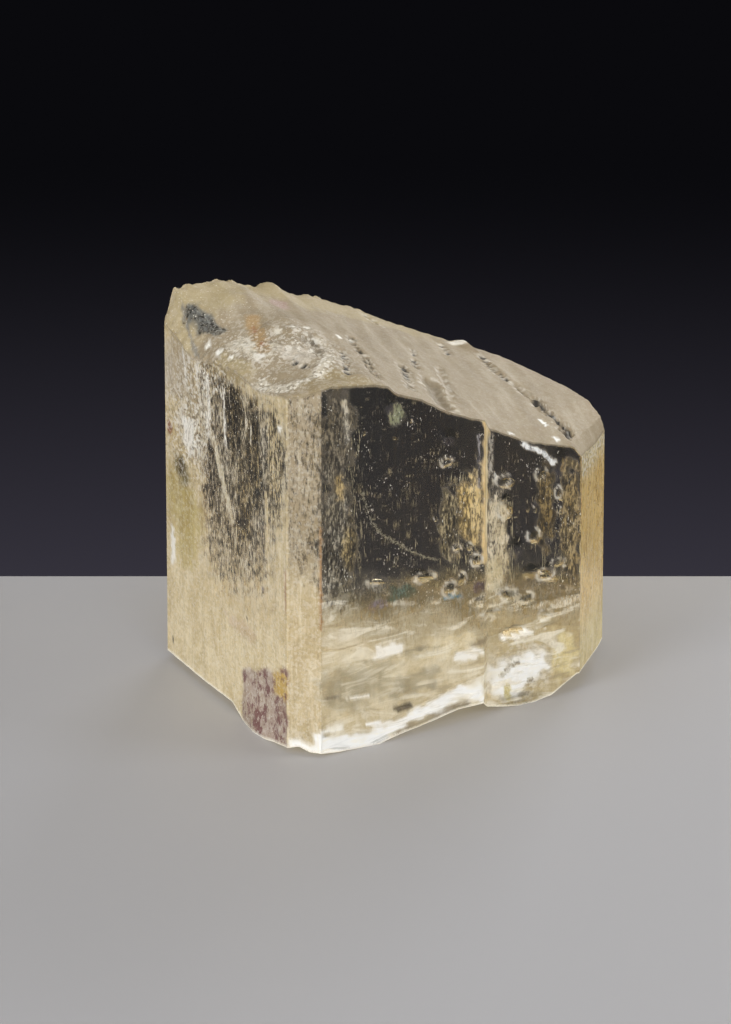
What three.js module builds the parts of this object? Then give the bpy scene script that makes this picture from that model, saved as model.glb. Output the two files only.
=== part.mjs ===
// Sellaite crystal: one clear, pale yellow prism of nearly square section. Narrow faces at
// 45 degrees cut its corners, its top is a sloping, pitted surface and its foot is broken.
// Millimetres, +Z along the prism, +X along the wide front face, +Y away from it.
import * as THREE from 'three';

// Driving dimensions of the section, with the front-left edge at (0, 0)
const FRONT_LEFT_WIDTH = 9.16; // front face, from the front-left edge to the growth step
const GROWTH_STEP = 0.5; // the right part of the front face stands back by this much
const FRONT_RIGHT_WIDTH = 5.25;
const RIGHT_BEVEL = 3.2; // run of each narrow face at 45 degrees, in X and in Y
const BACK_BEVEL = 5.36;
const BACK_LEFT_BEVEL = 0.7;
const LEFT_BEVEL = 1.24;
const DEPTH = 14.5;

const LEFT_SIDE = -LEFT_BEVEL;
const STEP_END = FRONT_LEFT_WIDTH + GROWTH_STEP;
const FRONT_END = STEP_END + FRONT_RIGHT_WIDTH;
const RIGHT_SIDE = FRONT_END + RIGHT_BEVEL;

// The section's front and back edges, as [x, y] corners from left to right
const FRONT_LINE = [
  [LEFT_SIDE, LEFT_BEVEL],
  [0, 0],
  [FRONT_LEFT_WIDTH, 0],
  [STEP_END, GROWTH_STEP],
  [FRONT_END, GROWTH_STEP],
  [RIGHT_SIDE, GROWTH_STEP + RIGHT_BEVEL],
];
const BACK_LINE = [
  [LEFT_SIDE, DEPTH - BACK_LEFT_BEVEL],
  [LEFT_SIDE + BACK_LEFT_BEVEL, DEPTH],
  [RIGHT_SIDE - BACK_BEVEL, DEPTH],
  [RIGHT_SIDE, DEPTH - BACK_BEVEL],
];

// Height of the top edge: along the front and the back by x, along the two sides by y
const TOP_EDGE = {
  front: [
    [LEFT_SIDE, 19.0], [-0.6, 19.2], [0, 19.6], [0.55, 19.65], [1.75, 19.5], [2.85, 19.3], [3.7, 19.05],
    [4.3, 18.5], [5.6, 17.95], [7.05, 17.0], [8.35, 16.4], [9.16, 16.1], [9.66, 15.4], [11.55, 14.35],
    [13, 13.85], [14.45, 13.4], [FRONT_END, 12.8], [15.2, 12.75], [16.8, 12.35], [RIGHT_SIDE, 12.3],
  ],
  back: [
    [LEFT_SIDE, 18.5], [-0.55, 19.2], [-0.3, 19.85], [0.5, 19.9], [1.4, 19.7], [1.85, 19.85],
    [2.9, 19.55], [3.6, 19.15], [4.2, 19.05], [5, 19.1], [5.5, 18.6], [6.2, 18.2], [7.25, 17.9],
    [8.35, 17.35], [9.8, 16.65], [12, 15.35], [12.75, 15.0], [13.45, 14.8], [14.4, 14.5],
    [14.9, 14.65], [15.2, 14.3], [16.2, 14.0], [17.4, 13.4], [RIGHT_SIDE, 13.0],
  ],
  left: [[1.24, 19.0], [1.5, 19.0], [4.2, 18.3], [6.15, 18.5], [8.7, 18.2], [10.8, 17.6], [13.8, 18.5]],
  right: [[3.7, 12.3], [4.15, 12.9], [5.45, 13.3], [7.7, 13.2], [9.14, 13.0]],
};

// Height of the broken bottom edge, in the same way
const FOOT_EDGE = {
  front: [
    [LEFT_SIDE, 0.3], [-0.8, 0.45], [-0.4, 0.2], [0, 0.2], [0.75, 0.1], [2.75, 0], [3.3, 0], [4.4, 0.25],
    [6.25, 0.55], [7.7, 0.85], [9.16, 0.85], [9.66, 0.35], [10.8, 0.1], [11.5, 0], [12.3, 0],
    [13.3, 0.15], [14.75, 1.0], [16.2, 0.9], [17.5, 0.8], [RIGHT_SIDE, 0.9],
  ],
  back: [
    [LEFT_SIDE, 0.5], [-0.55, 0.45], [0.8, 0.4], [3.4, 0.9], [6.8, 0.5], [10.1, 0.05], [12.75, 0.35],
    [15.4, 0.3], [RIGHT_SIDE, 0.65],
  ],
  left: [[1.24, 0.3], [3.25, 0], [5.75, 0], [7, 0.45], [10, 0.4], [13.8, 0.5]],
  right: [[3.7, 0.9], [6.4, 0.8], [9.14, 0.65]],
};

// The top is two gentle slopes that meet in a soft crest near the left side
const CREST_X = 3.7;
const RIGHT_SLOPE = { height: 19.0, fallX: 0.53, riseY: 0.05 };
const LEFT_SLOPE = { height: 18.3, riseX: 0.35, riseY: 0.02 };
const CREST_SOFTNESS = 0.25;

// Chains of etch pits in the top: start, end, half width and depth
const PIT_CHAINS = [
  { from: [6.3, 8.5], to: [4.5, 1.4], width: 0.34, depth: 0.4 },
  { from: [9.3, 8.3], to: [6.0, 1.7], width: 0.3, depth: 0.25 },
  { from: [3.8, 5.0], to: [2.3, 1.2], width: 0.3, depth: 0.25 },
  { from: [7.8, 3.6], to: [7.0, 0.5], width: 0.34, depth: 0.4 },
  { from: [10.6, 7.6], to: [8.3, 2.0], width: 0.32, depth: 0.35 },
  { from: [5.6, 9.2], to: [4.6, 6.0], width: 0.3, depth: 0.25 },
  { from: [10.5, 9.6], to: [9.9, 7.9], width: 0.28, depth: 0.25 },
  { from: [13.3, 11.8], to: [12.5, 9.7], width: 0.28, depth: 0.25 },
  { from: [10.2, 13.8], to: [10.0, 12.4], width: 0.3, depth: 0.25 },
  { from: [14.9, 10.4], to: [14.4, 5.2], width: 0.3, depth: 0.3 },
  { from: [14.8, 4.8], to: [14.9, 1.7], width: 0.4, depth: 0.6 },
];
const PIT_SPACING = 0.9;

// Rounded rises and hollows of the top: place, radius and height
const TOP_FORMS = [
  { at: [2.7, 5.6], radius: 1.1, height: -0.45 },
  { at: [0.2, 9.2], radius: 1.5, height: -0.35 },
  { at: [1.9, 11.9], radius: 1.2, height: 0.3 },
  { at: [4.9, 14.2], radius: 0.6, height: 0.3 },
  { at: [15.1, 12.6], radius: 0.6, height: 0.3 },
  { at: [1.6, 3.1], radius: 1.0, height: 0.35 },
  { at: [-0.4, 3.0], radius: 0.8, height: 0.3 },
];
const FINE_ROUGHNESS = { height: 0.05, size: 0.55 };
const LEFT_ROUGHNESS = { height: 0.16, size: 0.4 };

// Rises and hollows of the broken foot: a low arch at the front, a raised right corner,
// and the five spots that the crystal stands on
const FOOT_HEIGHT = 0.75;
const FOOT_FORMS = [
  { at: [7.6, 2.4], radius: 2.6, height: 0.9 },
  { at: [16.2, 5.4], radius: 2.4, height: 0.7 },
  { at: [5.0, 9.0], radius: 2.4, height: 0.7 },
  { at: [12.4, 8.6], radius: 2.0, height: 0.5 },
];
const STANDING_SPOTS = [[2.9, 0.9], [12.0, 1.5], [-0.3, 4.6], [0.6, 12.9], [10.2, 13.0]];
const SPOT = { radius: 1.25, depth: 1.6 };
const FRACTURE_RIBS = { at: [12.5, 2.5], spacing: 1.95, height: 0.12 };
const FOOT_ROUGHNESS = { height: 0.12, size: 0.7 };

// A low swelling at the foot of the left face
const SWELLING = { out: 0.3, y: 4.2, width: 1.5, tall: 1.1, reach: 2 };

// Fineness of the faceted surface
const COLUMN_SPACING = 0.42;
const ROWS_DEEP = 34;
const WALL_ROWS = 4;

const EDGE_HOLD = 3; // how fast the edge's own height fades away from the edge
const RELIEF_FADE = 12; // the relief starts this steeply inside the edge

function bump(distance, radius) {
  return Math.exp(-((distance / radius) ** 2));
}

// A low, irregular roughness of height -1 to 1, made of three crossed waves
function lumps(x, y, size, shift) {
  const first = Math.sin((x + 0.4 * y) / size + shift);
  const second = Math.sin((0.3 * x - y) / (0.8 * size) + 2.3 * shift);
  const third = Math.sin((0.8 * x + 0.7 * y) / (0.6 * size) + 4.1 * shift);
  return (first + second + third) / 3;
}

function forms(x, y, list) {
  const height = ({ at, radius, height: rise }) => rise * bump(Math.hypot(x - at[0], y - at[1]), radius);
  return list.reduce((sum, form) => sum + height(form), 0);
}

// Value at a place on a line of [place, value] stations
function along(line, place) {
  const found = line.findIndex(([station]) => station >= place);
  const next = Math.max(1, found < 0 ? line.length - 1 : found);
  const [start, low] = line[next - 1];
  const [end, high] = line[next];
  return low + ((high - low) * (place - start)) / (end - start);
}

// Depth of the pit chains at a point: each is a shallow trough with deeper pits along it
function pitDepth(x, y) {
  let depth = 0;
  for (const chain of PIT_CHAINS) {
    const runX = chain.to[0] - chain.from[0];
    const runY = chain.to[1] - chain.from[1];
    const length = Math.hypot(runX, runY);
    const share = ((x - chain.from[0]) * runX + (y - chain.from[1]) * runY) / length ** 2;
    const nearest = THREE.MathUtils.clamp(share, 0, 1);
    const gap = Math.hypot(x - chain.from[0] - nearest * runX, y - chain.from[1] - nearest * runY);
    const pits = 0.65 + 0.35 * Math.cos((2 * Math.PI * nearest * length) / PIT_SPACING);
    depth = Math.max(depth, chain.depth * pits * bump(gap, chain.width));
  }
  return depth;
}

// The two slopes of the top, joined softly at the crest
function slopes(x, y) {
  const right = RIGHT_SLOPE.height - RIGHT_SLOPE.fallX * (x - CREST_X) + RIGHT_SLOPE.riseY * y;
  const left = LEFT_SLOPE.height + LEFT_SLOPE.riseX * (x + LEFT_BEVEL) + LEFT_SLOPE.riseY * y;
  const sum = Math.exp(-right / CREST_SOFTNESS) + Math.exp(-left / CREST_SOFTNESS);
  return -CREST_SOFTNESS * Math.log(sum);
}

function topRelief(x, y) {
  const leftPart = 1 / (1 + Math.exp((x - CREST_X) / 0.8));
  const fine = FINE_ROUGHNESS.height * lumps(x, y, FINE_ROUGHNESS.size, 1.3);
  const left = LEFT_ROUGHNESS.height * leftPart * lumps(x, y, LEFT_ROUGHNESS.size, 0.6);
  return forms(x, y, TOP_FORMS) + fine + left;
}

function footRelief(x, y) {
  const fromRibs = Math.hypot(x - FRACTURE_RIBS.at[0], y - FRACTURE_RIBS.at[1]);
  const ribs = FRACTURE_RIBS.height * Math.sin((2 * Math.PI * fromRibs) / FRACTURE_RIBS.spacing);
  const rough = FOOT_ROUGHNESS.height * lumps(x, y, FOOT_ROUGHNESS.size, 2.1);
  const spots = STANDING_SPOTS.reduce(
    (sum, [spotX, spotY]) => sum + SPOT.depth * bump(Math.hypot(x - spotX, y - spotY), SPOT.radius),
    0,
  );
  return forms(x, y, FOOT_FORMS) + ribs + rough - spots;
}

// A place in the section: across runs 0 to 1 from left to right, back 0 to 1 from front to back
function place(across, back) {
  const x = THREE.MathUtils.lerp(LEFT_SIDE, RIGHT_SIDE, across);
  const y = THREE.MathUtils.lerp(along(FRONT_LINE, x), along(BACK_LINE, x), back);
  return { x, y, across, back };
}

// How far the edges' heights stand off a base surface, carried inwards from all four edges
function edgeOffset(point, edge, base) {
  const near = (share) => (1 - share) ** EDGE_HOLD;
  const front = place(point.across, 0);
  const rear = place(point.across, 1);
  const left = place(0, point.back);
  const right = place(1, point.back);
  const offset = (spot, line, station) => along(line, station) - base(spot.x, spot.y);
  const rows = (spotFront, spotRear) => near(point.back) * offset(spotFront, edge.front, spotFront.x)
    + near(1 - point.back) * offset(spotRear, edge.back, spotRear.x);
  const sides = near(point.across) * offset(left, edge.left, left.y)
    + near(1 - point.across) * offset(right, edge.right, right.y);
  const corners = near(point.across) * rows(place(0, 0), place(0, 1))
    + near(1 - point.across) * rows(place(1, 0), place(1, 1));
  return rows(front, rear) + sides - corners;
}

// 0 on the edge of the section, rising to 1 a little way inside
function inside({ across, back }) {
  const rise = (share) => 1 - Math.exp(-RELIEF_FADE * share);
  return rise(across) * rise(1 - across) * rise(back) * rise(1 - back);
}

function topHeight(point) {
  const { x, y } = point;
  const relief = inside(point) * topRelief(x, y) - pitDepth(x, y);
  return slopes(x, y) + edgeOffset(point, TOP_EDGE, slopes) + relief;
}

// The foot is cut off flat where the crystal stands
function footHeight(point) {
  const { x, y } = point;
  const level = () => FOOT_HEIGHT;
  const broken = FOOT_HEIGHT + edgeOffset(point, FOOT_EDGE, level) + inside(point) * footRelief(x, y);
  return Math.max(0, broken);
}

function swollen([x, y, z]) {
  const near = THREE.MathUtils.clamp(1 - (x + LEFT_BEVEL) / SWELLING.reach, 0, 1);
  const out = SWELLING.out * near * bump(y - SWELLING.y, SWELLING.width) * bump(z, SWELLING.tall);
  return [x - out, y, z];
}

// Stations across the section, with one at every corner
function stationsAcross() {
  const corners = [...FRONT_LINE, ...BACK_LINE].map(([x]) => x).sort((a, b) => a - b);
  const stations = [];
  corners.slice(1).forEach((end, index) => {
    const start = corners[index];
    const steps = end - start < 0.01 ? 0 : Math.max(1, Math.round((end - start) / COLUMN_SPACING));
    for (let step = 0; step < steps; step += 1) {
      stations.push(start + ((end - start) * step) / steps);
    }
  });
  stations.push(RIGHT_SIDE);
  return stations.map((x) => (x - LEFT_SIDE) / (RIGHT_SIDE - LEFT_SIDE));
}

// A top and a foot of the same stations and rows, joined by walls along their edges
function crystalGeometry() {
  const stations = stationsAcross();
  const last = stations.length - 1;
  const points = stations.flatMap((across) => (
    Array.from({ length: ROWS_DEEP + 1 }, (_, row) => place(across, row / ROWS_DEEP))
  ));
  const tops = points.map((point) => [point.x, point.y, topHeight(point)]);
  const feet = points.map((point) => [point.x, point.y, footHeight(point)]);
  const vertices = [...tops, ...feet];
  const faces = [];
  const at = (column, row) => column * (ROWS_DEEP + 1) + row;

  for (let column = 0; column < last; column += 1) {
    for (let row = 0; row < ROWS_DEEP; row += 1) {
      const [a, b, c, d] = [at(column, row), at(column + 1, row), at(column + 1, row + 1), at(column, row + 1)];
      faces.push(a, b, c, a, c, d);
      faces.push(...[a, c, b, a, d, c].map((index) => index + points.length));
    }
  }

  const rim = [];
  for (let column = 0; column < last; column += 1) rim.push(at(column, 0));
  for (let row = 0; row < ROWS_DEEP; row += 1) rim.push(at(last, row));
  for (let column = last; column > 0; column -= 1) rim.push(at(column, ROWS_DEEP));
  for (let row = ROWS_DEEP; row > 0; row -= 1) rim.push(at(0, row));

  const wallRows = [rim];
  for (let step = 1; step < WALL_ROWS; step += 1) {
    const down = 1 - (1 - step / WALL_ROWS) ** 2;
    wallRows.push(rim.map((index) => {
      const [x, y, high] = tops[index];
      vertices.push([x, y, THREE.MathUtils.lerp(high, feet[index][2], down)]);
      return vertices.length - 1;
    }));
  }
  wallRows.push(rim.map((index) => index + points.length));
  wallRows.slice(1).forEach((lower, step) => {
    const upper = wallRows[step];
    rim.forEach((_, index) => {
      const next = (index + 1) % rim.length;
      faces.push(upper[index], lower[index], lower[next], upper[index], lower[next], upper[next]);
    });
  });

  const geometry = new THREE.BufferGeometry();
  geometry.setAttribute('position', new THREE.Float32BufferAttribute(vertices.flatMap(swollen), 3));
  geometry.setIndex(faces);
  geometry.computeVertexNormals();
  return geometry;
}

// The origin is under the middle of the crystal's box, where it stands
function sellaiteCrystal() {
  const material = new THREE.MeshStandardMaterial({ color: 0xe6d9a8, roughness: 0.12, metalness: 0 });
  const geometry = crystalGeometry();
  geometry.computeBoundingBox();
  const middle = geometry.boundingBox.getCenter(new THREE.Vector3());
  geometry.translate(-middle.x, -middle.y, 0);
  const mesh = new THREE.Mesh(geometry, material);
  mesh.name = 'sellaite_crystal';
  return mesh;
}

const model = new THREE.Group();
model.add(sellaiteCrystal());

export default model;
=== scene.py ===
import math

import bpy
import numpy as np
from mathutils import Matrix, Vector


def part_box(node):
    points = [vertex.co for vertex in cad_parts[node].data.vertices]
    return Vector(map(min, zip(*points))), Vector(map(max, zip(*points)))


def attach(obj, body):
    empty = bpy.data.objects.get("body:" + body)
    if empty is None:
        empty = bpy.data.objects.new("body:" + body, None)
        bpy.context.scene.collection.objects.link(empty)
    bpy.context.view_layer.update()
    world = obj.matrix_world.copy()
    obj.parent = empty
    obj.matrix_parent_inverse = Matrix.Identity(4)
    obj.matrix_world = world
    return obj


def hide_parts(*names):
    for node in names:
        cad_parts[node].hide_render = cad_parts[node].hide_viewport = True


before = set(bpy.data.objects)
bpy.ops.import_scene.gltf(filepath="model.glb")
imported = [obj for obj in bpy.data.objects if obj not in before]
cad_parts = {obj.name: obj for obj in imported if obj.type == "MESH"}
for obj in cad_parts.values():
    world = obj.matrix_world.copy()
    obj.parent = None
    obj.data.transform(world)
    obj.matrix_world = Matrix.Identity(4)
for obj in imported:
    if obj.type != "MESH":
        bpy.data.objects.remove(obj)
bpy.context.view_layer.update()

NODE = "sellaite_crystal"
MM = 0.001

# The section and its heights, as in the solid
FRONT_LEFT_WIDTH = 9.16
GROWTH_STEP = 0.5
FRONT_RIGHT_WIDTH = 5.25
RIGHT_BEVEL = 3.2
BACK_BEVEL = 5.36
BACK_LEFT_BEVEL = 0.7
LEFT_BEVEL = 1.24
DEPTH = 14.5
LEFT_SIDE = -LEFT_BEVEL
STEP_END = FRONT_LEFT_WIDTH + GROWTH_STEP
FRONT_END = STEP_END + FRONT_RIGHT_WIDTH
RIGHT_SIDE = FRONT_END + RIGHT_BEVEL

FRONT_LINE = [
    (LEFT_SIDE, LEFT_BEVEL), (0, 0), (FRONT_LEFT_WIDTH, 0), (STEP_END, GROWTH_STEP),
    (FRONT_END, GROWTH_STEP), (RIGHT_SIDE, GROWTH_STEP + RIGHT_BEVEL),
]
BACK_LINE = [
    (LEFT_SIDE, DEPTH - BACK_LEFT_BEVEL), (LEFT_SIDE + BACK_LEFT_BEVEL, DEPTH),
    (RIGHT_SIDE - BACK_BEVEL, DEPTH), (RIGHT_SIDE, DEPTH - BACK_BEVEL),
]
TOP_EDGE = {
    "front": [
        (LEFT_SIDE, 19.0), (-0.6, 19.2), (0, 19.6), (0.55, 19.65), (1.75, 19.5), (2.85, 19.3),
        (3.7, 19.05), (4.3, 18.5), (5.6, 17.95), (7.05, 17.0), (8.35, 16.4), (9.16, 16.1), (9.66, 15.4),
        (11.55, 14.35), (13, 13.85), (14.45, 13.4), (FRONT_END, 12.8), (15.2, 12.75), (16.8, 12.35),
        (RIGHT_SIDE, 12.3),
    ],
    "back": [
        (LEFT_SIDE, 18.5), (-0.55, 19.2), (-0.3, 19.85), (0.5, 19.9), (1.4, 19.7), (1.85, 19.85),
        (2.9, 19.55), (3.6, 19.15), (4.2, 19.05), (5, 19.1), (5.5, 18.6), (6.2, 18.2), (7.25, 17.9),
        (8.35, 17.35), (9.8, 16.65), (12, 15.35), (12.75, 15.0), (13.45, 14.8), (14.4, 14.5),
        (14.9, 14.65), (15.2, 14.3), (16.2, 14.0), (17.4, 13.4), (RIGHT_SIDE, 13.0),
    ],
    "left": [(1.24, 19.0), (1.5, 19.0), (4.2, 18.3), (6.15, 18.5), (8.7, 18.2), (10.8, 17.6), (13.8, 18.5)],
    "right": [(3.7, 12.3), (4.15, 12.9), (5.45, 13.3), (7.7, 13.2), (9.14, 13.0)],
}
FOOT_EDGE = {
    "front": [
        (LEFT_SIDE, 0.3), (-0.8, 0.45), (-0.4, 0.2), (0, 0.2), (0.75, 0.1), (2.75, 0), (3.3, 0),
        (4.4, 0.25), (6.25, 0.55), (7.7, 0.85), (9.16, 0.85), (9.66, 0.35), (10.8, 0.1), (11.5, 0),
        (12.3, 0), (13.3, 0.15), (14.75, 1.0), (16.2, 0.9), (17.5, 0.8), (RIGHT_SIDE, 0.9),
    ],
    "back": [
        (LEFT_SIDE, 0.5), (-0.55, 0.45), (0.8, 0.4), (3.4, 0.9), (6.8, 0.5), (10.1, 0.05),
        (12.75, 0.35), (15.4, 0.3), (RIGHT_SIDE, 0.65),
    ],
    "left": [(1.24, 0.3), (3.25, 0), (5.75, 0), (7, 0.45), (10, 0.4), (13.8, 0.5)],
    "right": [(3.7, 0.9), (6.4, 0.8), (9.14, 0.65)],
}
CREST_X = 3.7
RIGHT_SLOPE = {"height": 19.0, "fall_x": 0.53, "rise_y": 0.05}
LEFT_SLOPE = {"height": 18.3, "rise_x": 0.35, "rise_y": 0.02}
CREST_SOFTNESS = 0.25

# Grooves of etch pits in the top: line, half width, depth and how far they are parted into pits
GROOVES = [
    ([(6.2, 8.2), (5.6, 6.9), (5.1, 4.8), (4.6, 3.3), (3.9, 1.2)], 0.22, 0.3, 0.9),
    ([(7.5, 5.4), (7.0, 4.0), (5.8, 1.5)], 0.25, 0.28, 0.7),
    ([(8.4, 4.1), (7.7, 2.2), (7.3, 0.8)], 0.45, 0.4, 0.2),
    ([(10.5, 7.1), (9.5, 4.6), (8.4, 2.0)], 0.2, 0.14, 0.1),
    ([(9.2, 7.3), (8.5, 5.8)], 0.2, 0.22, 0.7),
    ([(14.9, 10.4), (14.4, 8.2), (14.5, 7.0)], 0.22, 0.24, 0.7),
    ([(14.7, 6.8), (14.5, 5.2)], 0.26, 0.3, 0.4),
    ([(14.7, 4.8), (14.7, 3.8), (14.8, 3.0), (15.0, 2.4), (14.7, 1.6)], 0.38, 0.5, 1.0),
    ([(3.8, 4.8), (3.2, 3.3), (2.3, 1.5)], 0.24, 0.26, 0.8),
    ([(13.3, 11.8), (12.7, 9.9)], 0.18, 0.16, 0.5),
    ([(10.1, 8.9), (9.7, 8.1)], 0.16, 0.14, 0.5),
    ([(1.0, 4.7), (1.1, 3.4)], 0.2, 0.2, 0.8),
    ([(10.0, 13.8), (10.2, 12.5)], 0.26, 0.2, 0.4),
    ([(2.7, 6.8), (3.2, 6.0), (2.3, 4.4)], 0.3, 0.3, 0.3),
]
PIT_SPACING = 0.42

# Rises and hollows: place, radius and height
TOP_FORMS = [
    ((2.7, 5.6), 1.1, -0.45), ((0.2, 9.2), 1.5, -0.35), ((1.9, 11.9), 1.2, 0.3), ((4.9, 14.2), 0.6, 0.3),
    ((15.1, 12.6), 0.6, 0.3), ((1.6, 3.1), 1.0, 0.35), ((-0.4, 3.0), 0.8, 0.3),
]
RIM = [(-0.9, 4.4), (-0.9, 2.6), (-0.4, 2.0), (0.3, 2.0), (1.2, 2.3), (1.9, 2.9), (2.4, 3.7)]
RIM_HEIGHT, RIM_WIDTH = 0.14, 0.34
RUGGED_GROUND = [((0.3, 7.6), (1.3, 2.7)), ((2.6, 5.6), (1.3, 2.4))]
FOOT_HEIGHT = 0.75
FOOT_FORMS = [
    ((7.6, 2.4), 2.6, 0.9), ((16.2, 5.4), 2.4, 0.7), ((5.0, 9.0), 2.4, 0.7), ((12.4, 8.6), 2.0, 0.5),
]
STANDING_SPOTS = [(2.9, 0.9), (12.0, 1.5), (-0.3, 4.6), (0.6, 12.9), (10.2, 13.0)]
SPOT_RADIUS, SPOT_DEPTH = 1.25, 1.6
RIBS_AT, RIBS_SPACING, RIBS_HEIGHT = (12.5, 2.5), 1.95, 0.12
SWELLING = {"out": 0.3, "y": 4.2, "width": 1.5, "tall": 1.1, "reach": 2}
EDGE_HOLD = 3
RELIEF_FADE = 12

# Fineness of the dressed surface
STATION_SPACING = 0.11
ROWS_DEEP = 104
WALL_ROWS = 98

low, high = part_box(NODE)
SHIFT = np.array([RIGHT_SIDE - high[0] / MM, DEPTH - high[1] / MM, 0.0])


def to_frame(points):
    """Plan millimetres to the part's own metres."""
    return (np.asarray(points, dtype=float) - SHIFT) * MM


# The form of the solid, worked out on whole arrays of places

def along(line, place):
    stations, values = zip(*line)
    return np.interp(place, stations, values)


def bump(distance, radius):
    return np.exp(-((distance / radius) ** 2))


def fade(value, start, end):
    """Smooth step from 0 at start to 1 at end."""
    share = np.clip((value - start) / (end - start), 0, 1)
    return share * share * (3 - 2 * share)


def oval(a, b, middle, half):
    """A soft oval hill of height 1."""
    return bump(np.hypot((a - middle[0]) / half[0], (b - middle[1]) / half[1]), 1)


def lumps(x, y, size, shift):
    """Waves from -1 to 1 in three directions, as uneven ground."""
    first = np.sin((x + 0.4 * y) / size + shift)
    second = np.sin((0.3 * x - y) / (0.8 * size) + 2.3 * shift)
    third = np.sin((0.8 * x + 0.7 * y) / (0.6 * size) + 4.1 * shift)
    return (first + second + third) / 3


def line_distance(x, y, line):
    """How far each place is from a line of straight runs, and its way along the run that is nearest."""
    far, way, start = np.full_like(x, np.inf), np.zeros_like(x), 0.0
    for (x0, y0), (x1, y1) in zip(line, line[1:]):
        run_x, run_y = x1 - x0, y1 - y0
        length = math.hypot(run_x, run_y)
        share = np.clip(((x - x0) * run_x + (y - y0) * run_y) / length**2, 0, 1)
        gap = np.hypot(x - x0 - share * run_x, y - y0 - share * run_y)
        way = np.where(gap < far, start + share * length, way)
        far = np.minimum(far, gap)
        start += length
    return far, way


def forms(x, y, items):
    return sum(rise * bump(np.hypot(x - at[0], y - at[1]), radius) for at, radius, rise in items)


def pit_depth(x, y):
    """Depth of the grooves, and how much painted shade their pits take."""
    depth, dark = np.zeros_like(x), np.zeros_like(x)
    for line, half, deep, parted in GROOVES:
        gap, way = line_distance(x, y, line)
        gap = gap * (1 + 0.35 * lumps(x, y, 0.11, half))
        beat = np.cos(2 * np.pi * (way + 0.3 * lumps(x, y, 0.35, 9 * deep)) / PIT_SPACING)
        pits = 1 - parted * (0.5 - 0.5 * beat)
        depth = np.maximum(depth, deep * pits * bump(gap, half))
        dark = np.maximum(dark, parted * fade(beat, -0.4, 0.4) * bump(gap, 0.8 * half))
    return depth, dark


def slopes(x, y):
    right = RIGHT_SLOPE["height"] - RIGHT_SLOPE["fall_x"] * (x - CREST_X) + RIGHT_SLOPE["rise_y"] * y
    left = LEFT_SLOPE["height"] + LEFT_SLOPE["rise_x"] * (x + LEFT_BEVEL) + LEFT_SLOPE["rise_y"] * y
    return -CREST_SOFTNESS * np.log(np.exp(-right / CREST_SOFTNESS) + np.exp(-left / CREST_SOFTNESS))


def place(across, back):
    x = LEFT_SIDE + across * (RIGHT_SIDE - LEFT_SIDE)
    front_y, back_y = along(FRONT_LINE, x), along(BACK_LINE, x)
    return x, front_y + back * (back_y - front_y)


def edge_offset(across, back, edge, base):
    """How far the edges' heights stand off a base surface, carried inwards from all four edges."""
    def near(share):
        return (1 - share) ** EDGE_HOLD

    def offset(line, spot, by):
        return along(line, spot[by]) - base(*spot)

    zero, one = np.zeros_like(across), np.ones_like(across)

    def rows(column):
        front = offset(edge["front"], place(column, zero), 0)
        rear = offset(edge["back"], place(column, one), 0)
        return near(back) * front + near(1 - back) * rear

    sides = near(across) * offset(edge["left"], place(zero, back), 1)
    sides = sides + near(1 - across) * offset(edge["right"], place(one, back), 1)
    corners = near(across) * rows(zero) + near(1 - across) * rows(one)
    return rows(across) + sides - corners


def inside(across, back):
    def rise(share):
        return 1 - np.exp(-RELIEF_FADE * share)

    return rise(across) * rise(1 - across) * rise(back) * rise(1 - back)


def ruggedness(x, y):
    """How much of the chipped, sparkling ground of the top's left part is at each place."""
    return np.clip(sum(oval(x, y, *ground) for ground in RUGGED_GROUND), 0, 1)


def top_relief(x, y):
    left_part = 1 / (1 + np.exp((x - CREST_X) / 0.8))
    rugged = ruggedness(x, y)
    broad = 0.05 * lumps(x, y, 0.55, 1.3) + 0.14 * left_part * lumps(x, y, 0.4, 0.6)
    fine = (0.014 + 0.06 * rugged) * lumps(x, y, 0.13, 2.9) + 0.035 * rugged * lumps(x, y, 0.07, 1.7)
    ridges = 0.03 * np.sin(5.2 * (x - 0.3 * y) + 1.5 * lumps(x, y, 1.4, 0.2))
    rim = RIM_HEIGHT * bump(line_distance(x, y, RIM)[0], RIM_WIDTH)
    return forms(x, y, TOP_FORMS) + broad + fine + ridges + rim


def foot_relief(x, y):
    ribs = RIBS_HEIGHT * np.sin(2 * np.pi * np.hypot(x - RIBS_AT[0], y - RIBS_AT[1]) / RIBS_SPACING)
    rough = 0.12 * lumps(x, y, 0.7, 2.1) + 0.03 * lumps(x, y, 0.16, 0.4)
    spots = sum(SPOT_DEPTH * bump(np.hypot(x - sx, y - sy), SPOT_RADIUS) for sx, sy in STANDING_SPOTS)
    return forms(x, y, FOOT_FORMS) + ribs + rough - spots


def top_height(across, back):
    x, y = place(across, back)
    relief = inside(across, back) * top_relief(x, y) - pit_depth(x, y)[0]
    from_edge = np.minimum(np.minimum(across, 1 - across), np.minimum(back, 1 - back))
    jagged = 0.03 + 0.11 / (1 + np.exp((x - 2.5 * CREST_X) / 1.2)) * (back > 0.5)
    chips = jagged * (1 + lumps(x, y, 0.13, 0.9)) * bump(from_edge, 0.03)
    return slopes(x, y) + edge_offset(across, back, TOP_EDGE, slopes) + relief - chips


def foot_height(across, back):
    x, y = place(across, back)

    def level(at_x, at_y):
        return np.full_like(at_x, FOOT_HEIGHT)

    broken = FOOT_HEIGHT + edge_offset(across, back, FOOT_EDGE, level)
    return np.maximum(0, broken + inside(across, back) * foot_relief(x, y))


def swollen(points):
    near = np.clip(1 - (points[:, 0] + LEFT_BEVEL) / SWELLING["reach"], 0, 1)
    foot = bump(points[:, 1] - SWELLING["y"], SWELLING["width"]) * bump(points[:, 2], SWELLING["tall"])
    moved = points.copy()
    moved[:, 0] -= SWELLING["out"] * near * foot
    return moved


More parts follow.
